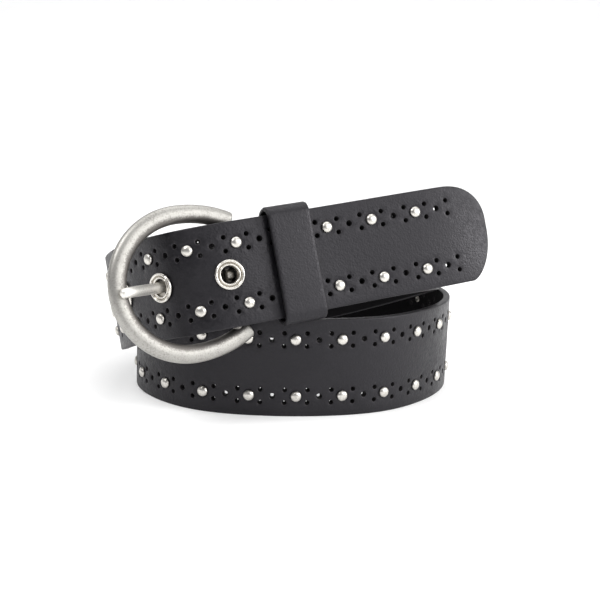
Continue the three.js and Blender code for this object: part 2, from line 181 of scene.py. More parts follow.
# Nickel: mottled with age, and darkened by painted shade: at the foot of stud domes, in eyelet grooves and
# bores, on the buckle's inner slope and underside, and on the bar and the prong's loop
nickel = {"cloudSize": 5, "fineSize": 0.55}
nickelFinishes = {
    # each finish: its colours, its roughness, how strongly painted shade darkens it, and the depth of its
    # pits
    "antiqueNickel": {
        "clean": (0.385, 0.375, 0.352, 1), "dull": (0.15, 0.141, 0.132, 1),
        "rough": (0.42, 0.56), "shadeWeight": 0.6, "pits": 0.016},
    "polishedNickel": {
        "clean": (0.62, 0.6, 0.56, 1), "dull": (0.36, 0.34, 0.31, 1),
        "rough": (0.28, 0.4), "shadeWeight": 0.6, "pits": 0.01},
    # a brighter, rougher copy of the nickel: painted light, so that the prong reads lit from above
    "paintedLightProngNickel": {
        "clean": (0.85, 0.83, 0.79, 1), "dull": (0.55, 0.53, 0.49, 1),
        "rough": (0.44, 0.56), "shadeWeight": 0.4, "pits": 0.016},
    "eyeletNickel": {
        "clean": (0.72, 0.7, 0.66, 1), "dull": (0.42, 0.39, 0.34, 1),
        "rough": (0.18, 0.3), "shadeWeight": 0.7, "pits": 0.005},
}


def makeNickel(name):
    finish = nickelFinishes[name]
    shader = Shader(name, {"Metallic": 1.0})
    where = shader.place()
    cloud = shader.noise(where, nickel["cloudSize"], 5.0, 0.65)
    fine = shader.noise(where, nickel["fineSize"], 3.0, 0.6)
    # this attribute is above 0 where shade is painted into the colour, and it also roughens the metal there
    paintedShade = shader.attribute("paintedShade")
    mottle = shader.clampRange(cloud * 0.35 + fine * 0.65 + paintedShade * finish["shadeWeight"], 0.42, 0.85)
    shader.feed("Base Color", shader.blend(mottle, finish["clean"], finish["dull"]))
    matt = shader.clampRange(fine * 0.6 + cloud * 0.4 + paintedShade * 0.3, 0.3, 0.95, *finish["rough"])
    shader.feed("Roughness", matt)
    shader.bump(fine * 0.9 + cloud * 0.3, finish["pits"])
    return shader.material


grainLeather, fleshLeather, edgeLeather, holeLeather = (makeLeather(name) for name in leatherFinishes)
antiqueNickel, polishedNickel, paintedLightProngNickel, eyeletNickel = (makeNickel(name) for name in nickelFinishes)
print("materials ready")

# The belt's sizes, most of them as in the CAD; each piece's finer values are beside its code below
coil = {
    "axis": (2.338, 8.064), "reach": 64, "slantLeft": 0.232, "slantBack": 0.194,
    # turned (degrees), reach and rise (shares of the coil's reach and the strap's width), slant
    "rows": [
        (5, 1.484, 1.921, 1), (20, 1.198, 1.868, 1), (34, 1.009, 1.805, 1), (50, 0.867, 1.729, 1),
        (68, 0.811, 1.658, 1), (88, 0.856, 1.584, 1), (104, 1.038, 1.524, 1), (116, 1.228, 1.445, 1),
        (124.5, 1.273, 1.353, 1), (132, 1.253, 1.271, 1), (141, 1.233, 1.176, 1), (154, 1.217, 1.013, 1),
        (172, 1.202, 0.811, 0.95), (198, 1.182, 0.737, 0.8), (230, 1.172, 0.605, 0.5),
        (262, 1.108, 0.526, 0.2),
        (294, 1.063, 0.5, 0), (320, 1.023, 0.5, 0), (343, 1.05, 0.5, 0), (365, 0.986, 0.5, 0),
        (388, 0.898, 0.5, 0), (412, 0.869, 0.5, 0), (438, 0.825, 0.5, 0), (464, 0.873, 0.5, 0),
        (486, 0.989, 0.5, 0), (505, 1.042, 0.5, 0), (526, 1.075, 0.5, 0), (551, 1.006, 0.5, 0),
        (582, 0.992, 0.54, 0), (614, 0.961, 0.658, 0.1), (645, 0.93, 0.895, 0.35), (672, 0.898, 1.171, 0.65),
        (698, 0.875, 1.421, 0.85), (722, 0.852, 1.592, 1), (746, 0.805, 1.67, 1)],
    # beneath the front layer and beside the flap, in shares of the keeper's distance from the bar
    "under": (2.3, 1.7, 1.2, 0.75, 0.35), "dipFrom": 1.2, "flap": (0.35, 0.75, 1.2, 1.7),
}
strap = {
    "width": 38, "thick": 2.7, "foldWidth": 32, "foldTaper": 6, "flapLength": 13,
    "slotWidth": 5.2, "slotReach": 7,
    # the tip's upper and lower half: length, half of its flat end, and how full the arc is
    "tipUpper": (18.5, 4.5, 2.2), "tipLower": (10.5, 0.0, 1.5), "tipSet": 0.7, "tipZone": 30,
    # the flap's corners: their cut, the middle of the arc, and the next place on the end
    "endCorner": (1.6, 0.5, 2.8), "edgeRound": 0.55, "backRound": 0.35, "grid": 1.6, "fineGrid": 0.9,
}
pattern = {
    "pitch": 18.04, "first": 31.6, "spacing": 22.1, "skew": 0.87, "beforeBar": 4, "plainShare": 2.7,
    "punch": 2.2, "small": 1.8, "smallAlong": 4.35, "smallAcross": 2.5,
}
stud = {"head": 4.2, "rise": 1.25, "back": 2.8, "backRise": 0.5}
eyelet = {"count": 5, "flange": 11.2, "bore": 6.4, "wall": 0.8, "rise": 1.1, "backRise": 0.5}
buckle = {
    "outer": 58.6, "band": 6.8, "thick": 4.6, "armLength": 21.5, "armSpread": 34, "barFromCentre": 17.4,
    "bar": 5, "turn": 11, "prong": 3.5,
}
keeper = {"width": 16.5, "thick": 1.6, "fromBar": 23.8, "corner": 2.6}
gap = {"fit": 0.3, "slide": 0.6, "layer": 0.4}

face = strap["thick"] / 2
layerStep = strap["thick"] + gap["fit"] + max(stud["backRise"], eyelet["backRise"]) + gap["layer"]
foldRadius = buckle["bar"] / 2 + gap["fit"] + face


def unit(v):
    return v / np.linalg.norm(v, axis=-1, keepdims=True)


def trace(controls):
    # uniform cubic B-spline; the length is measured along the grain face
    c = np.array(controls, float)
    t = (np.arange(24) / 24)[:, None]
    shares = ((1 - t) ** 3, 3 * t ** 3 - 6 * t * t + 4, -3 * t ** 3 + 3 * t * t + 3 * t + 1, t ** 3)
    slopes = (-(1 - t) ** 2, 3 * t * t - 4 * t, -3 * t * t + 2 * t + 1, t * t)
    spans = range(len(c) - 3)
    place = np.concatenate([sum(s * c[k + i] for i, s in enumerate(shares)) / 6 for k in spans])
    along = unit(np.concatenate([sum(s * c[k + i, :3] for i, s in enumerate(slopes)) for k in spans]))
    slant = place[:, 3]
    up = np.stack([-slant * coil["slantLeft"], slant * coil["slantBack"], np.ones(len(slant))], 1)
    across = unit(up - (up * along).sum(1, keepdims=True) * along)
    out = np.cross(across, along)
    grain = place[:, :3] + out * face
    at = np.concatenate([[0], np.cumsum(np.linalg.norm(np.diff(grain, axis=0), axis=1))])
    return {"at": at, "point": place[:, :3], "along": along, "across": across}


def frameAt(run, at):
    at = np.atleast_1d(np.asarray(at, float))

    def read(name):
        return np.stack([np.interp(at, run["at"], run[name][:, k]) for k in range(3)], 1)

    along = unit(read("along"))
    across = read("across")
    across = unit(across - (across * along).sum(1, keepdims=True) * along)
    return read("point"), along, across, np.cross(across, along)


def coilControls():
    made = []
    for turned, share, rise, slant in coil["rows"]:
        angle, reach = math.radians(-turned), share * coil["reach"]
        made.append((coil["axis"][0] + reach * math.cos(angle), coil["axis"][1] + reach * math.sin(angle),
                     rise * strap["width"], slant))
    return made


def pairAt(index):
    return pattern["first"] + index * pattern["pitch"]


tipRun = trace(coilControls())
openEyelet = pairAt(pattern["beforeBar"]) + pattern["pitch"] / 4
barAt = openEyelet - pattern["pitch"] / 12
barPoint, barAlong, barAcross, barOut = (v[0] for v in frameAt(tipRun, barAt))
barCentre = barPoint - barOut * (layerStep + foldRadius)


def wholeRun():
    controls = coilControls()

    def under(share, depth):
        point, _, _, out = frameAt(tipRun, barAt - share * keeper["fromBar"])
        controls.append((*(point[0] - out[0] * depth), 1))

    for share in coil["under"]:
        under(share, layerStep + max(0, share - coil["dipFrom"]) * stud["rise"])
    # round the bar; the spline runs inside its controls, so they stand further out
    reach = foldRadius * 3 / (2 + math.cos(math.pi / 4))
    for i in range(5):
        turn = math.pi * i / 4
        spot = barCentre + barOut * reach * math.cos(turn) + barAlong * reach * math.sin(turn)
        controls.append((*spot, 1))
    for share in coil["flap"]:
        start, end = layerStep + 2 * foldRadius, layerStep + strap["thick"] + gap["fit"]
        under(share, start + (end - start) * min(1, share))
    return trace(controls)


run = wholeRun()
late = run["at"] > run["at"][-1] / 2


def nearestLate(spot):
    return run["at"][late][np.argmin(np.linalg.norm(run["point"][late] - spot, axis=1))]


foldStart = nearestLate(barCentre + barOut * foldRadius)
foldMiddle = nearestLate(barCentre + barAlong * foldRadius)
foldEnd = 2 * foldMiddle - foldStart
strapEnd = foldEnd + strap["flapLength"]
narrowFrom = foldStart - keeper["fromBar"] + keeper["width"] / 2 + gap["fit"]
print("strap length", round(strapEnd, 1))


def onStrap(at, up, depth):
    point, _, across, out = frameAt(run, at)
    return point + across * np.reshape(up, (-1, 1)) + out * np.reshape(depth, (-1, 1))


def halfWidth(at, side):
    # from the strap's middle line to its edge; side is above 0 for the upper edge, else below
    at = np.asarray(at, float)
    wide = strap["width"] / 2
    tips = []
    for tipLength, flat, bend in (strap["tipUpper"], strap["tipLower"]):
        gone = np.clip(1 - (at - strap["tipSet"]) / tipLength, 0, 1)
        tips.append(flat + (wide - flat) * np.sqrt(np.clip(1 - gone ** bend, 0, 1)))
    tip = np.where(np.asarray(side) > 0, *tips)
    share = np.clip((at - narrowFrom) / strap["foldTaper"], 0, 1)
    share = share * share * (3 - 2 * share)
    return np.where(at < strap["tipZone"], tip, wide + (strap["foldWidth"] / 2 - wide) * share)


def makePiece(name, points, faces, materials, replaced, layer, values, choice=None):
    # layer is the attribute that its materials read
    mesh = bpy.data.meshes.new(name)
    mesh.from_pydata((np.asarray(points) * mm).tolist(), [], faces)
    for material in materials:
        mesh.materials.append(material)
    if choice is not None:
        mesh.polygons.foreach_set("material_index", np.asarray(choice, np.int32))
    data = mesh.attributes.new(layer, "FLOAT", "POINT").data
    data.foreach_set("value", np.asarray(values, np.float32))
    mesh.shade_smooth()
    mesh.validate()
    mesh.update()
    piece = bpy.data.objects.new(name, mesh)
    bpy.context.scene.collection.objects.link(piece)
    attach(piece, "root")
    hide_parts(*replaced)
    print(name, len(mesh.polygons), "faces")
    return piece


def skin(rings, closed=False):
    # rings: n by sides by 3; capped at both ends unless it closes on itself
    rings = np.asarray(rings, float)
    count, sides = rings.shape[:2]
    faces = []
    for i in range(count if closed else count - 1):
        j = (i + 1) % count
        for k in range(sides):
            m = (k + 1) % sides
            faces.append((i * sides + k, i * sides + m, j * sides + m, j * sides + k))
    if not closed:
        faces.append(tuple(range(sides - 1, -1, -1)))
        faces.append(tuple((count - 1) * sides + k for k in range(sides)))
    return rings.reshape(-1, 3), faces


def outwardFaces(points, faces):
    # turned so that the closed body's faces point out
    points = np.asarray(points)
    total = 0.0
    for f in faces:
        for i in range(1, len(f) - 1):
            total += float(np.dot(points[f[0]], np.cross(points[f[i]], points[f[i + 1]])))
    return faces if total > 0 else [f[::-1] for f in faces]


def joinParts(parts):
    points, faces, start = [], [], 0
    for partPoints, partFaces in parts:
        points.append(np.asarray(partPoints))
        faces += [tuple(i + start for i in f) for f in outwardFaces(partPoints, partFaces)]
        start += len(partPoints)
    return np.concatenate(points), faces


# Strap: where its studs, holes and eyelets are, as places along it and up from its middle
patternEnd = foldStart - pattern["plainShare"] * keeper["fromBar"]
pairCount = int((patternEnd - pattern["first"]) // pattern["pitch"]) + 1
rowPlaces = ((pattern["spacing"] / 2, 0.0), (-pattern["spacing"] / 2, -pattern["skew"]))
studPlaces = [(pairAt(i) + shift, up) for up, shift in rowPlaces for i in range(pairCount)]
punchPlaces = [(pairAt(i - 0.5) + shift, up) for up, shift in rowPlaces for i in range(pairCount + 1)]
smallPlaces = [(at + a * pattern["smallAlong"], up + b * pattern["smallAcross"])
               for at, up in studPlaces for a in (-1, 1) for b in (-1, 1)]
smallPlaces += [(pairAt(-1) + pattern["smallAlong"] + shift, up + b * pattern["smallAcross"])
                for up, shift in rowPlaces for b in (-1, 1)]
eyeletPlaces = [openEyelet + (i - 1) * 1.5 * pattern["pitch"] for i in range(eyelet["count"])]
barrel = eyelet["bore"] / 2 + eyelet["wall"]
slotHalf = (foldEnd - foldStart) / 2 + strap["slotReach"] - strap["slotWidth"] / 2

# How holes are cut: sides, and the width at the back as a share of that in front
holes = {
    "smallSides": 12, "smallThroat": 0.22, "punchSides": 14, "punchThroat": 0.6, "eyeletSides": 28,
    "eyeletPlay": 0.12, "rimShare": 0.55,
}
wells = [(at, up, pattern["small"] / 2, holes["smallSides"], holes["smallThroat"]) for at, up in smallPlaces]
wells += [(at, up, pattern["punch"] / 2, holes["punchSides"], holes["punchThroat"])
          for at, up in punchPlaces]
wells += [(at, 0.0, barrel + holes["eyeletPlay"], holes["eyeletSides"], 1.0) for at in eyeletPlaces]

# The grain face is drawn down round each stud, and lifts a little round each small hole; the lifted ring
# round each stud also gets a painted highlight, a paler colour
relief = {
    "drop": 0.26, "dropReach": 1.1, "lift": 0.05, "liftAt": 3.5, "liftReach": 0.8, "near": 6,
    "liftSheen": 0.3, "edgeRubAndSheen": 0.25, "rimSheen": 1.1, "wallRub": 0.1, "rimDepth": 0.2,
    "ringRadii": (2.1, 2.75, 3.6), "ringSides": 14, "clear": 3.4,
}


def circleLoop(at, up, radius, sides):
    turn = 2 * np.pi * (np.arange(sides) + 0.5) / sides
    return np.stack([at + radius * np.cos(turn), up + radius * np.sin(turn)], 1)


def slotLoop(at, halfLength, radius, arcSteps=9, sideSteps=12):
    # a slot with round ends
    turn = np.linspace(-np.pi / 2, np.pi / 2, arcSteps)
    right = np.stack([at + halfLength + radius * np.cos(turn), radius * np.sin(turn)], 1)
    steps = np.linspace(halfLength, -halfLength, sideSteps)[1:-1]
    top = np.stack([at + steps, np.full(len(steps), radius)], 1)
    left = np.stack([at - halfLength - radius * np.cos(turn), -radius * np.sin(turn)], 1)
    return np.concatenate([right, top, left, top[::-1] * (1, -1)])


def longSide(tipLength, flat, bend, sign, arcSteps=22):
    # the tip's arc, the straight side and the taper at the fold
    turn = np.linspace(0, np.pi / 2, arcSteps)
    arcAt = strap["tipSet"] + tipLength * (1 - np.cos(turn) ** (2 / bend))
    arc = np.stack([arcAt, flat + (strap["width"] / 2 - flat) * np.sin(turn)], 1)
    coarse = np.arange(arcAt[-1] + strap["grid"], narrowFrom - 0.8, strap["grid"])
    fine = np.arange(narrowFrom, strapEnd - 2.2, strap["fineGrid"])
    side = np.concatenate([coarse, fine])
    return np.concatenate([arc, np.stack([side, halfWidth(side, sign)], 1)])


def outlineLoop(inset, endSteps=18):
    # clockwise from the tip, then moved inwards
    endHalf = strap["foldWidth"] / 2
    cut, middle, beside = strap["endCorner"]
    corner = np.array([[strapEnd - cut, endHalf], [strapEnd - middle, endHalf - middle],
                       [strapEnd, endHalf - cut]])
    endUps = np.linspace(endHalf - beside, beside - endHalf, endSteps)
    end = np.stack([np.full(endSteps, strapEnd), endUps], 1)
    tipUps = np.linspace(-strap["tipLower"][1], strap["tipUpper"][1], 5)[1:-1]
    tip = np.stack([np.full(len(tipUps), strap["tipSet"]), tipUps], 1)
    upper = np.concatenate([longSide(*strap["tipUpper"], 1), corner])
    lower = np.concatenate([longSide(*strap["tipLower"], -1), corner])
    loop = np.concatenate([upper, end, lower[::-1] * (1, -1), tip])
    ahead = unit(np.roll(loop, -1, 0) - np.roll(loop, 1, 0))
    return loop + np.stack([ahead[:, 1], -ahead[:, 0]], 1) * inset


def rimLoop(number, inset, back=0.0):
    # loop 0 is the outline, loop 1 the prong's slot, and the others are the holes
    if number == 0:
        return outlineLoop(inset)
    if number == 1:
        return slotLoop(foldMiddle, slotHalf, strap["slotWidth"] / 2 + inset)
    at, up, radius, sides, throat = wells[number - 2]
    return circleLoop(at, up, radius * (1 - back * (1 - throat)) + inset * holes["rimShare"], sides)


def gridSpots():
    # a grid over the sheet, clear of its edge, holes and studs
    rim = strap["edgeRound"]
    coarse = np.arange(0.8, narrowFrom, strap["grid"])
    fine = np.arange(narrowFrom + 0.4, strapEnd, strap["fineGrid"])
    ups = np.arange(-18.4, 18.5, strap["grid"])
    grid = np.stack(np.meshgrid(np.concatenate([coarse, fine]), ups, indexing="ij"), -1).reshape(-1, 2)
    keep = np.abs(grid[:, 1]) < halfWidth(grid[:, 0], grid[:, 1]) - rim - 0.7
    keep &= (grid[:, 0] > 2.0) & (grid[:, 0] < strapEnd - rim - 0.5)
    for at, up, radius, *_ in wells + [(at, up, relief["clear"]) for at, up in studPlaces]:
        keep &= np.hypot(grid[:, 0] - at, grid[:, 1] - up) > radius + rim * holes["rimShare"] + 0.6
    inSlot = np.abs(grid[:, 0] - foldMiddle) < slotHalf + 3.6
    inSlot &= np.abs(grid[:, 1]) < strap["slotWidth"] / 2 + 1.1
    return grid[keep & ~inSlot]


def insideTriangles(sheet, triangles, rims):
    # without those beyond the outline, and those that close a hole: all corners on its rim
    rim = strap["edgeRound"]
    owner = np.arange(len(sheet)) + len(rims)
    for number, places in enumerate(rims[1:], 1):
        owner[places] = number
    outline = sheet[rims[0]]
    outline = outline[np.argsort(outline[:, 0], kind="stable")]
    upper, lower = outline[outline[:, 1] > 0].T, outline[outline[:, 1] < 0].T
    corners = sheet[np.array(triangles)]
    centre, ends = corners.mean(1), corners[:, :, 0]
    inside = centre[:, 1] < np.interp(centre[:, 0], *upper)
    inside &= centre[:, 1] > np.interp(centre[:, 0], *lower)
    inside &= ends.max(1) > strap["tipSet"] + rim + 0.01
    inside &= ends.min(1) < strapEnd - rim - 0.05
    return [tuple(t) for t, kept in zip(triangles, inside) if kept and len({owner[i] for i in t}) > 1]


def flatSheet():
    # the flat leather: its points, its triangles, and the points on each rim
    flat, edges, spans, start = [], [], [], 0
    for number in range(len(wells) + 2):
        spot = rimLoop(number, strap["edgeRound"])
        flat.append(spot)
        spans.append((start, len(spot)))
        edges += [(start + k, start + (k + 1) % len(spot)) for k in range(len(spot))]
        start += len(spot)
    for at, up in studPlaces:
        flat += [circleLoop(at, up, radius, relief["ringSides"]) for radius in relief["ringRadii"]]
    flat.append(gridSpots())
    spots = [Vector(spot) for spot in np.concatenate(flat)]
    verts, _, triangles, original, _, _ = delaunay_2d_cdt(spots, edges, [], 0, 1e-5, True)
    sheet = np.array([tuple(v) for v in verts])
    newIndex = {old: new for new, olds in enumerate(original) for old in olds}
    rims = [[newIndex[first + k] for k in range(size)] for first, size in spans]
    return sheet, insideTriangles(sheet, triangles, rims), rims


def reliefAt(at, up):
    drop, lift = np.zeros(len(at)), np.zeros(len(at))
    edge = stud["head"] / 2
    for a, b in studPlaces:
        near = np.abs(at - a) < relief["near"]
        far = np.hypot(at[near] - a, up[near] - b)
        dip = np.exp(-((np.maximum(far, edge) - edge) / relief["dropReach"]) ** 2)
        swell = np.exp(-((far - relief["liftAt"]) / relief["liftReach"]) ** 2)
        drop[near] = np.maximum(drop[near], dip)
        lift[near] = np.maximum(lift[near], swell)
    # the second value is the painted highlight on the lifted ring round each stud
    return relief["lift"] * lift - relief["drop"] * drop, relief["liftSheen"] * lift


# how much paler colour a rim row gets: painted sheen with rub on the cut edge, a strong painted highlight on
# the grain side of a hole's rim, and a little on hole walls
def rimSheen(outer, depth):
    if outer:
        return relief["edgeRubAndSheen"]
    return relief["rimSheen"] if depth > face - relief["rimDepth"] else relief["wallRub"]


def makeStrap():
    rim, backRim = strap["edgeRound"], strap["backRound"]
    sheet, kept, rims = flatSheet()
    count = len(sheet)
    # the grain face's relief, and the painted highlight round each stud
    shift, paintedSheen = reliefAt(*sheet.T)
    points = [onStrap(*sheet.T, face + shift), onStrap(*sheet.T, np.full(count, -face))]
    sheenAndRub = [paintedSheen, np.zeros(count)]
    faces = kept + [tuple(i + count for i in t[::-1]) for t in kept]
    choice = [0] * len(kept) + [1] * len(kept)
    # rounded rims, from the grain face to the back: how far in from the cut edge, and how deep
    profile = ((rim * 0.45, face - rim * 0.12), (rim * 0.1, face - rim * 0.45), (0, face - rim),
               (0, -face + backRim), (backRim * 0.5, -face + backRim * 0.2))
    start = 2 * count
    for number, front in enumerate(rims):
        size, outer = len(front), number == 0
        rows = [front]
        for inset, depth in profile:
            spot = rimLoop(number, inset, 1.0 if depth < 0 else 0.0)
            points.append(onStrap(*spot.T, np.full(size, depth)))
            sheenAndRub.append(np.full(size, rimSheen(outer, depth)))
            rows.append(list(range(start, start + size)))
            start += size
        rows.append([i + count for i in front])
        for step, (a, b) in enumerate(zip(rows[:-1], rows[1:])):
            for k in range(size):
                m = (k + 1) % size
                quad = (a[k], a[m], b[m], b[k])
                faces.append(quad if outer else quad[::-1])
                choice.append(2 if outer or step < 2 else 3)
    piece = makePiece("beltStrap", np.concatenate(points), faces,
                      [grainLeather, fleshLeather, edgeLeather, holeLeather],
                      ["strap"], "sheenAndRub", np.concatenate(sheenAndRub), choice)
    # points that no face uses go, and every face is turned outwards
    body = bmesh.new()
    body.from_mesh(piece.data)
    loose = [v for v in body.verts if not v.link_faces]
    bmesh.ops.delete(body, geom=loose, context="VERTS")
    bmesh.ops.recalc_face_normals(body, faces=body.faces)
    print("open edges of the strap:", sum(1 for e in body.edges if not e.is_manifold))
    body.to_mesh(piece.data)
    body.free()


makeStrap()


def seatAt(at, up, reach=0.8):
    # where a fitting sits; the leather's slope is read from reach on each side
    origin = onStrap(at, up, 0)[0]
    along = unit(onStrap(at + reach, up, 0)[0] - onStrap(at - reach, up, 0)[0])
    across = onStrap(at, up + reach, 0)[0] - onStrap(at, up - reach, 0)[0]
    out = unit(np.cross(across, along))
    return origin, along, np.cross(out, along), out


def latheRings(seat, profile, sides):
    origin, along, side, out = seat
    turn = 2 * np.pi * np.arange(sides) / sides
    circle = along * np.cos(turn)[:, None] + side * np.sin(turn)[:, None]
    return np.array([origin + circle * radius + out * height for radius, height in profile])


# Studs: domed heads that sink a little into the leather, and a rolled rivet end behind
studShape = {
    "sink": 0.14, "foot": 0.12, "middle": 0.02, "fullness": 0.92, "sides": 24, "shadow": 0.35,
    "backSink": 0.05, "backSides": 16, "backShade": 0.5,
}


def makeStuds():
    r, sink, middle = stud["head"] / 2, studShape["sink"], studShape["middle"]
    high = stud["rise"] + sink
    # profiles: radius and height, from the middle beneath to the middle on top
    heads = [(middle, 0.0), (r * 0.6, 0.0), (r * 0.97, 0.0), (r, studShape["foot"])]
    for t in np.linspace(0.12, 1.5, 9):
        heads.append((r * math.cos(t), sink + (high - sink) * math.sin(t) ** studShape["fullness"]))
    heads.append((middle, high))
    b, backHigh = stud["back"] / 2, stud["backRise"]
    backs = [(middle, 0), (b * 0.9, 0), (b, 0.12), (b * 0.96, 0.3), (b * 0.55, backHigh - 0.08),
             (b * 0.35, backHigh * 0.5), (middle, backHigh * 0.45)]
    headProfile = [(x, face - sink + y) for x, y in heads]
    backProfile = [(x, -face - studShape["backSink"] - y) for x, y in backs]
    # painted shade at the foot of each dome, fading out over the height set by shadow; the rivet ends behind
    # get an even painted shade
    headShade = [max(0.0, 1 - y / studShape["shadow"]) for _, y in heads for _ in range(studShape["sides"])]
    parts, paintedShade = [], []
    for at, up in studPlaces:
        seat = seatAt(at, up)
        parts.append(skin(latheRings(seat, headProfile, studShape["sides"])))
        paintedShade += headShade
        parts.append(skin(latheRings(seat, backProfile, studShape["backSides"])))
        paintedShade += [studShape["backShade"]] * (len(backs) * studShape["backSides"])
    points, faces = joinParts(parts)
    nodes = [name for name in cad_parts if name.startswith("stud_")]
    makePiece("beltStuds", points, faces, [polishedNickel], nodes, "paintedShade", paintedShade)


makeStuds()

# Eyelets: a rolled flange, a groove, an inner lip and a bore that is clinched behind
eyeletShape = {
    "sides": 48, "seat": 0.06, "lip": 0.62, "backShare": 0.84,
    # painted shade: full in the groove, less in the bore, a little on the rest
    "grooveShade": 1.0, "boreShade": 0.55, "shadeShare": 0.1,
    # from the groove to the bore: out from the bore, and a share of the rise
    "inner": ((1.12, 0.24), (0.92, 0.24), (0.82, 0.5), (0.62, 0.64), (0.38, 0.66), (0.14, 0.5), (0.02, 0.2)),
}


def bulge(at, radius, sign):
    # how far the bent leather stands out beneath a round flange
    origin, _, _, out = seatAt(at, 0)
    turn = np.arange(12) * math.pi / 6
    spots = onStrap(at + radius * np.cos(turn), radius * np.sin(turn), np.zeros(12))
    return max(0.0, float(((spots - origin) @ out * sign).max()))


def eyeletProfile(at):
    r, bore, rise, lip = eyelet["flange"] / 2, eyelet["bore"] / 2, eyelet["rise"], eyeletShape["lip"]
    backRise, backShare = eyelet["backRise"], eyeletShape["backShare"]
    top = face + eyeletShape["seat"] + bulge(at, r, 1)
    low = face + eyeletShape["seat"] + bulge(at, r * backShare, -1)
    profile = [(barrel - 0.05, top), (r - 0.2, top), (r, top + 0.12)]
    for t in np.linspace(0.2, 2.7, 10):
        profile.append((r - lip + lip * math.cos(t), top + 0.2 + (rise - 0.2) * math.sin(t)))
    profile += [(bore + x, top + rise * y) for x, y in eyeletShape["inner"]]
    profile += [(bore, -low - 0.1), (bore + 0.1, -low - backRise * 0.9), (bore + 0.6, -low - backRise),
                (r * 0.75, -low - backRise * 0.8), (r * backShare, -low - 0.1), (r * 0.82, -low),
                (barrel - 0.05, -low)]
    return profile


# the painted shade at a radius of the profile
def eyeletShade(radius):
    bore = eyelet["bore"] / 2
    if bore + 0.86 < radius < eyelet["flange"] / 2 - 1.1:
        return eyeletShape["grooveShade"]
    return eyeletShape["boreShade"] if radius < bore + 0.1 else eyeletShape["shadeShare"]


def makeEyelets():
    sides = eyeletShape["sides"]
    for number, at in enumerate(eyeletPlaces, 1):
        profile = eyeletProfile(at)
        points, faces = skin(latheRings(seatAt(at, 0), profile, sides), closed=True)
        paintedShade = np.repeat([eyeletShade(radius) for radius, _ in profile], sides)
        makePiece(f"beltEyelet{number}", points, outwardFaces(points, faces), [eyeletNickel],
                  [f"eyelet_{number}"], "paintedShade", paintedShade)


makeEyelets()

# Buckle: its plane turns about the bar so that the left side stands out in front
swing = math.radians(buckle["turn"])
frameUp = barAcross
frameLeft = barAlong * math.cos(swing) + barOut * math.sin(swing)
frameOut = np.cross(frameUp, frameLeft)
bandRadius = (buckle["outer"] - buckle["band"]) / 2
# the cast frame is a little lower than round, set a little over, and its arms are cut short
castFrame = {
    "halfHeight": 25.2, "setRight": 0.8, "setDown": 0.45, "armCut": 1.5, "steps": 150, "sides": 30,
    "crown": 0.86, "underside": 0.7, "underShade": 0.5, "noseSteps": 6, "noseLength": 0.16, "noseDraw": 0.2,
    "barSteps": 41, "barSides": 24, "barThin": 0.3, "barShade": 0.4,
}


def inBuckle(left, up, out):
    left, up, out = (np.reshape(np.asarray(v, float), (-1, 1)) for v in np.broadcast_arrays(left, up, out))
    return barCentre + frameLeft * left + frameUp * up + frameOut * out


def bandAt(turn):
    reach = buckle["armSpread"] if math.cos(turn) < 0 else bandRadius
    return np.array([buckle["barFromCentre"] - castFrame["setRight"] + reach * math.cos(turn),
                     castFrame["halfHeight"] * math.sin(turn) - castFrame["setDown"]])


def bandRings():
    # rounded on top, flatter beneath; both ends are drawn in to a soft nose
    theta = 2 * np.pi * np.arange(castFrame["sides"]) / castFrame["sides"]
    side = np.sign(np.cos(theta)) * np.abs(np.cos(theta)) ** castFrame["crown"]
    under = np.sign(np.sin(theta)) * np.abs(np.sin(theta)) ** castFrame["underside"] * 0.5
    deep = np.where(np.sin(theta) > 0, np.sin(theta) * 0.5, under)
    # painted shade: darker on the band's inner slope and on its underside
    inner = np.clip(-side * 1.4 - 0.2, 0, 1) * np.clip(0.7 + deep, 0, 1)
    shadeShare = np.maximum(inner, np.where(deep < -0.3, castFrame["underShade"], 0))
    rings = []

    def section(centre, ahead, shrink, shift):
        offset = side * shrink * buckle["band"] / 2
        left = centre[0] + ahead[0] * shift + ahead[1] * offset
        up = centre[1] + ahead[1] * shift - ahead[0] * offset
        rings.append(inBuckle(left, up, deep * buckle["thick"] * (0.35 + 0.65 * shrink)))

    draw = castFrame["noseDraw"]
    nose = [(castFrame["noseLength"] * math.sin(t), 1 - draw + draw * math.cos(t))
            for t in np.linspace(1.5, 0.2, castFrame["noseSteps"])]
    endTurn = math.pi - math.acos((buckle["armLength"] - castFrame["armCut"]) / buckle["armSpread"])
    for i in range(castFrame["steps"] + 1):
        turn = -endTurn + 2 * endTurn * i / castFrame["steps"]
        centre = bandAt(turn)
        ahead = unit(bandAt(turn + 0.01) - bandAt(turn - 0.01))
        if i == 0:
            for shift, shrink in nose:
                section(centre, ahead, shrink, -shift * buckle["band"])
        section(centre, ahead, 1, 0)
        if i == castFrame["steps"]:
            for shift, shrink in nose[::-1]:
                section(centre, ahead, shrink, shift * buckle["band"])
    return rings, np.tile(shadeShare, len(rings))


def barRings():
    # the heel bar, thinner where it runs into the arms
    half = bandRadius * math.sqrt(1 - (buckle["barFromCentre"] / buckle["armSpread"]) ** 2)
    circle = 2 * np.pi * np.arange(castFrame["barSides"]) / castFrame["barSides"]
    r = buckle["bar"] / 2
    rings = []
    for up in np.linspace(-half, half, castFrame["barSteps"]):
        thin = 1 - castFrame["barThin"] * min(1.0, max(0.0, (abs(up) - half + 5) / 2.2))
        rings.append(inBuckle(r * thin * np.cos(circle), up, r * thin * np.sin(circle)))
    return rings


def makeBuckleFrame():
    band, shadeShare = bandRings()
    points, faces = joinParts([skin(band), skin(barRings())])
    # the bar gets an even painted shade
    barShade = np.full(castFrame["barSteps"] * castFrame["barSides"], castFrame["barShade"])
    makePiece("buckleFrame", points, faces, [antiqueNickel], ["buckle_frame"],
              "paintedShade", np.concatenate([shadeShare, barShade]))


makeBuckleFrame()

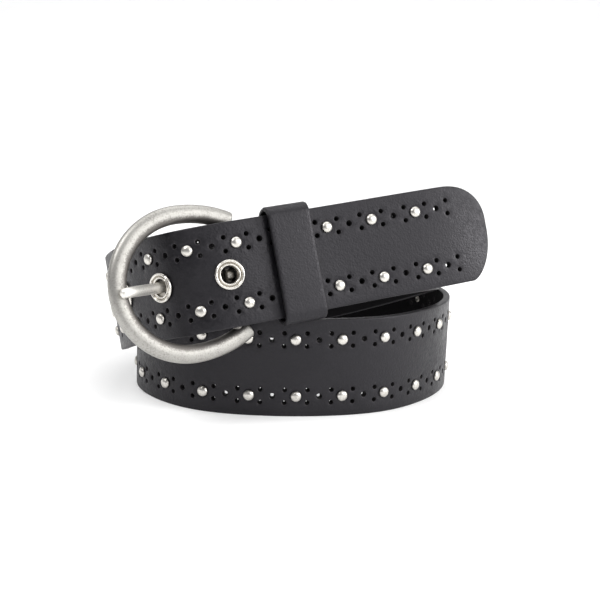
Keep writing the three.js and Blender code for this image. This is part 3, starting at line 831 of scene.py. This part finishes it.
# Prong: a bent rod with a blunt end, and a loop of flattened rod round the bar
prong = {
    "swell": 1.18, "taper": 0.12, "blunt": 1.6, "wall": 1.5, "flat": 2.2, "steps": 90, "sides": 22,
    "loopSteps": 40, "loopFrom": 60, "loopTo": 330, "rodShade": 0.1, "loopShade": 0.3,
}


def smoothThrough(points, count):
    # centripetal Catmull-Rom, spaced evenly by length
    p = [np.array(q, float) for q in points]
    p = [2 * p[0] - p[1]] + p + [2 * p[-1] - p[-2]]
    made = []
    for a, b, c, d in zip(p, p[1:], p[2:], p[3:]):
        t0, t1, t2 = (max(np.linalg.norm(y - x) ** 0.5, 1e-4) for x, y in ((a, b), (b, c), (c, d)))
        m1 = ((b - a) / t0 - (c - a) / (t0 + t1) + (c - b) / t1) * t1
        m2 = ((c - b) / t1 - (d - b) / (t1 + t2) + (d - c) / t2) * t1
        square, cube = -3 * b + 3 * c - 2 * m1 - m2, 2 * b - 2 * c + m1 + m2
        for t in np.linspace(0, 1, 40, endpoint=False):
            made.append(b + m1 * t + square * t * t + cube * t ** 3)
    made = np.array(made + [p[-2]])
    length = np.concatenate([[0], np.cumsum(np.linalg.norm(np.diff(made, axis=0), axis=1))])
    want = np.linspace(0, length[-1], count)
    return np.stack([np.interp(want, length, made[:, k]) for k in range(2)], 1)


def prongPath(loopRadius):
    # in the buckle's plane: from the bar, out through the eyelet and onto the frame
    thick = buckle["prong"]
    origin, _, _, out = seatAt(eyeletPlaces[2], 0)
    through = np.array([(origin - barCentre) @ frameLeft, (origin - barCentre) @ frameOut])
    outward = unit(np.array([out @ frameLeft, out @ frameOut]))
    rest = thick / 2 + gap["fit"] + buckle["thick"] / 2
    arm = buckle["barFromCentre"] + bandRadius
    reach = strap["thick"] + thick
    return smoothThrough([
        (0.6 * loopRadius, -loopRadius), (loopRadius + thick, -loopRadius), through - outward * 1.7 * reach,
        through - outward * 0.6 * reach, through + outward * 0.7 * reach,
        (arm - 0.4 * buckle["band"], rest + gap["fit"]), (arm, rest)], prong["steps"])


def tube(points, radii, flat=1.0):
    # a round or flattened rod along a path in the buckle's plane
    ahead = unit(np.gradient(points, axis=0))
    turn = 2 * np.pi * np.arange(prong["sides"]) / prong["sides"]
    rings = []
    for p, a, r in zip(points, ahead, radii):
        around = r * np.cos(turn)
        rings.append(inBuckle(p[0] - a[1] * around, flat * r * np.sin(turn), p[1] + a[0] * around))
    return skin(rings)


def makeProng():
    loopRadius = buckle["bar"] / 2 + gap["fit"] + prong["wall"] / 2
    path = prongPath(loopRadius)
    share = np.linspace(0, 1, prong["steps"])
    toTip = np.linalg.norm(path - path[-1], axis=1)
    radii = buckle["prong"] / 2 * (prong["swell"] - prong["taper"] * share ** 2)
    radii *= np.sqrt(np.clip(1 - (1 - np.clip(toTip / prong["blunt"], 0, 1)) ** 2, 0.02, 1))
    turn = np.radians(np.linspace(prong["loopFrom"], prong["loopTo"], prong["loopSteps"]))
    loop = np.stack([loopRadius * np.cos(turn), loopRadius * np.sin(turn)], 1)
    rod = tube(path, radii)
    root = tube(loop, np.full(len(loop), prong["wall"] / 2), prong["flat"])
    points, faces = joinParts([rod, root])
    # the prong is in the brighter nickel, which is painted light; its loop round the bar gets more painted
    # shade
    paintedShade = [prong["rodShade"]] * len(rod[0]) + [prong["loopShade"]] * len(root[0])
    makePiece("buckleProng", points, faces, [paintedLightProngNickel], ["prong"], "paintedShade", paintedShade)


makeProng()

# Keeper: a leather band round both layers, looser behind
keeperShape = {
    "backCorner": 7.5, "loose": 0.7, "bevel": 0.4, "soft": 0.3, "swell": 0.25, "edgeRubAndSheen": 0.2, "step": 1.2,
}


def keeperPath():
    # the band's middle line, as a rounded oblong, and which way is out at each of its places
    seatGap = face + gap["fit"]
    thick = keeper["thick"]
    right = seatGap + stud["rise"] + gap["slide"] + thick / 2
    left = -layerStep - seatGap - gap["slide"] - thick / 2
    top = strap["width"] / 2 + gap["slide"] + keeperShape["loose"] + thick / 2
    frontRound, backRound = keeper["corner"] + thick / 2, keeperShape["backCorner"] + thick / 2
    corners = ((right, top, frontRound), (left, top, backRound),
               (left, -top, backRound), (right, -top, frontRound))
    path, normals = [], []
    for quarter, (x, y, bend) in enumerate(corners):
        centre = np.array([x - math.copysign(bend, x), y - math.copysign(bend, y)])
        for t in np.radians(np.linspace(0, 90, 9)) + quarter * math.pi / 2:
            normals.append(np.array([math.cos(t), math.sin(t)]))
            path.append(centre + bend * normals[-1])
    # more places along the straight sides
    places = []
    for i, (spot, out) in enumerate(zip(path, normals)):
        nextSpot, nextOut = path[(i + 1) % len(path)], normals[(i + 1) % len(path)]
        count = max(1, int(np.linalg.norm(nextSpot - spot) / keeperShape["step"]))
        for k in range(count):
            places.append((spot + (nextSpot - spot) * k / count, unit(out + (nextOut - out) * k / count)))
    return places, top


def keeperSection():
    # across the band: place along the strap, depth, and material (0 grain, 1 flesh, 2 edge)
    wide, h = keeper["width"] / 2, keeper["thick"] / 2
    bevel, soft = keeperShape["bevel"], keeperShape["bevel"] * keeperShape["soft"]
    section = [(wide, -h + bevel, 2), (wide, h - bevel, 2), (wide - soft, h - soft, 2), (wide - bevel, h, 0)]
    section += [(x, h, 0) for x in np.linspace(wide - 1.6, -wide + 1.6, 11)]
    section += [(-wide + bevel, h, 2), (-wide + soft, h - soft, 2), (-wide, h - bevel, 2),
                (-wide, -h + bevel, 2), (-wide + soft, -h + soft, 2), (-wide + bevel, -h, 1)]
    section += [(x, -h, 1) for x in np.linspace(-wide + 1.6, wide - 1.6, 7)[:-1]]
    section += [(wide - 1.6, -h, 2), (wide - bevel, -h, 2), (wide - soft, -h + soft, 1)]
    return section


def makeKeeper():
    point, along, across, out = (v[0] for v in frameAt(tipRun, barAt - keeper["fromBar"]))
    places, top = keeperPath()
    section = keeperSection()
    wide, sides = keeper["width"] / 2, len(section)
    rings = []
    for (x, y), (nx, ny) in places:
        loop = []
        for s, depth, _ in section:
            # the front face swells a little in its middle
            swell = keeperShape["swell"] * max(0.0, 1 - (s / wide) ** 2) * max(0.0, 1 - (y / top) ** 4)
            lift = depth + (swell if x > 0 and depth > 0 else 0)
            loop.append(point + out * (x + nx * lift) + across * (y + ny * lift) - along * s)
        rings.append(loop)
    points, faces = skin(rings, closed=True)
    faces = outwardFaces(points, faces)
    choice = [section[min(f) % sides][2] for f in faces]
    # the cut edges get painted sheen with rub, a paler colour
    sheenAndRub = [keeperShape["edgeRubAndSheen"] if kind == 2 else 0.0 for _ in rings for _, _, kind in section]
    makePiece("beltKeeper", points, faces, [grainLeather, fleshLeather, edgeLeather],
              ["keeper"], "sheenAndRub", sheenAndRub, choice)


makeKeeper()

# Studio: a white paper sweep, four soft lights and a world that is dim on the camera's side
studio = {
    "floor": (0.9, 0.9, 0.9, 1), "glow": 0.12, "nearEnd": -9.0, "side": 9.0, "bendStart": 0.9, "bend": 0.8,
    "wallTop": 3.0, "world": 1.0, "worldRange": (-0.6, 0.3), "dim": (0.3, 0.3, 0.31, 1),
    "bright": (1, 1, 1, 1),
}
# place, target, size and power
lights = {
    "keyLight": ((-0.55, -0.4, 0.8), (0, 0, 0.04), (0.35, 0.35), 3.4),
    "fillLight": ((0.95, -0.22, 0.42), (0, 0, 0.04), (0.4, 0.5), 5.8),
    "frontLight": ((0.65, -0.78, 0.5), (0, 0, 0.06), (0.5, 0.75), 3.4),
    "topLight": ((0.05, 0.2, 1.1), (0, 0, 0.0), (1.0, 0.7), 4.0),
}


def makeFloor():
    # flat, then curving up behind
    start, bend, side = studio["bendStart"], studio["bend"], studio["side"]
    profile = [(studio["nearEnd"], 0.0), (start, 0.0)]
    for t in np.linspace(0.1, math.pi / 2, 14):
        profile.append((start + bend * math.sin(t), bend - bend * math.cos(t)))
    profile.append((start + bend, studio["wallTop"]))
    points = [(x, y, z) for y, z in profile for x in (-side, side)]
    faces = [(2 * i, 2 * i + 1, 2 * i + 3, 2 * i + 2) for i in range(len(profile) - 1)]
    mesh = bpy.data.meshes.new("studioFloor")
    mesh.from_pydata(points, [], faces)
    mesh.shade_smooth()
    floor = bpy.data.objects.new("studioFloor", mesh)
    bpy.context.scene.collection.objects.link(floor)
    paper = Shader("studioPaper", {"Roughness": 0.9, "Specular IOR Level": 0.1, "Base Color": studio["floor"],
                                   "Emission Color": studio["bright"], "Emission Strength": studio["glow"]})
    mesh.materials.append(paper.material)


def makeWorld():
    world = bpy.data.worlds.new("studioWorld")
    bpy.context.scene.world = world
    world.use_nodes = True
    tree = world.node_tree
    surface = tree.nodes["Background"]
    sky = Shader.around(tree, surface)
    axes = sky.add("ShaderNodeSeparateXYZ", None, {0: sky.add("ShaderNodeTexCoord")["Generated"]})
    lit = sky.clampRange(axes["Y"] + axes["Z"] * 0.9 + axes["X"] * 0.5, *studio["worldRange"])
    sky.feed("Color", sky.blend(lit, studio["dim"], studio["bright"]))
    surface.inputs["Strength"].default_value = studio["world"]


def addLight(name, place, target, size, power):
    light = bpy.data.lights.new(name, "AREA")
    light.shape = "RECTANGLE"
    light.size, light.size_y = size
    light.energy = power
    lamp = bpy.data.objects.new(name, light)
    bpy.context.scene.collection.objects.link(lamp)
    lamp.location = place
    lamp.rotation_euler = (Vector(target) - Vector(place)).to_track_quat("-Z", "Y").to_euler()


makeFloor()
makeWorld()
for name, lamp in lights.items():
    addLight(name, *lamp)

# The photograph's view: place in millimetres, angles in degrees
view = {"place": (3.055, -457.075, 131.266), "elevation": 11.79, "roll": 2.2715, "lens": 67.66}


def makeCamera():
    lift, roll = math.radians(view["elevation"]), math.radians(view["roll"])
    forward = Vector((0, math.cos(lift), -math.sin(lift)))
    right, up = Vector((1, 0, 0)), Vector((0, math.sin(lift), math.cos(lift)))
    turnedRight = right * math.cos(roll) + up * math.sin(roll)
    turnedUp = up * math.cos(roll) - right * math.sin(roll)
    lens = bpy.data.cameras.new("photoCamera")
    lens.lens = view["lens"]
    lens.sensor_width = 36
    lens.sensor_fit = "HORIZONTAL"
    lens.clip_start = 0.01
    camera = bpy.data.objects.new("photoCamera", lens)
    bpy.context.scene.collection.objects.link(camera)
    basis = Matrix((turnedRight, turnedUp, -forward)).transposed().to_4x4()
    camera.matrix_world = Matrix.Translation(Vector(view["place"]) * mm) @ basis
    bpy.context.scene.camera = camera


makeCamera()
bpy.context.scene.view_settings.view_transform = "Standard"
print("scene ready")
